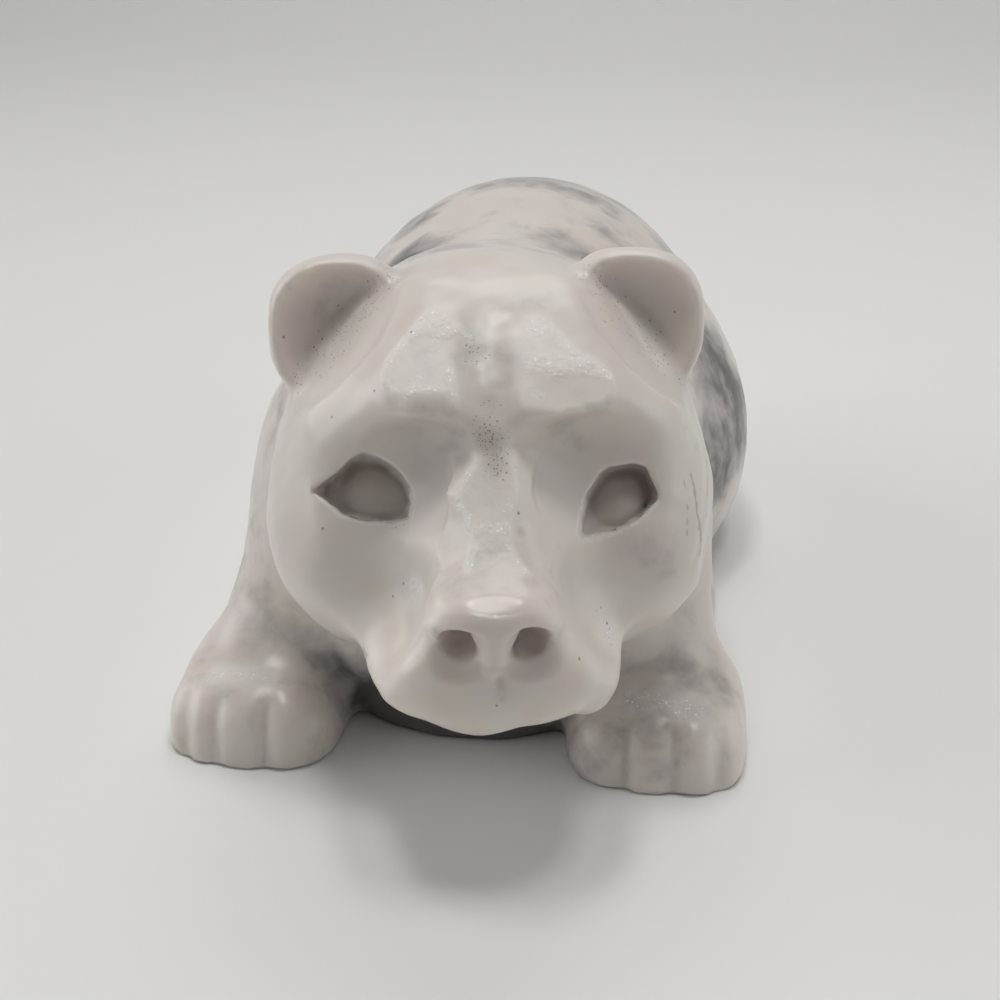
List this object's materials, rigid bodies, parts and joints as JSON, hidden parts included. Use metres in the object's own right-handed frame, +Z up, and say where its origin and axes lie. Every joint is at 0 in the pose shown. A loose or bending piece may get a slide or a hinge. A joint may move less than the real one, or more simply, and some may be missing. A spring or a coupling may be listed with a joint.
{
  "type": "polar bear figurine",
  "caption": "Crouching polar bear carved from one block of polished white marble, head low and turned a little to its left, resting on its flat belly and paws.",
  "frame": {"origin": "on the ground under the middle of the bounding box", "axes": "+Z up, the bear faces -Y along its length, +X is the bear's own left"},
  "size_m": [0.0632, 0.1242, 0.0546],
  "materials": {
    "marble": "polished white marble with soft grey mottling"
  },
  "bodies": {
    "root": {"polar_bear": "marble"}
  },
  "joints": []
}
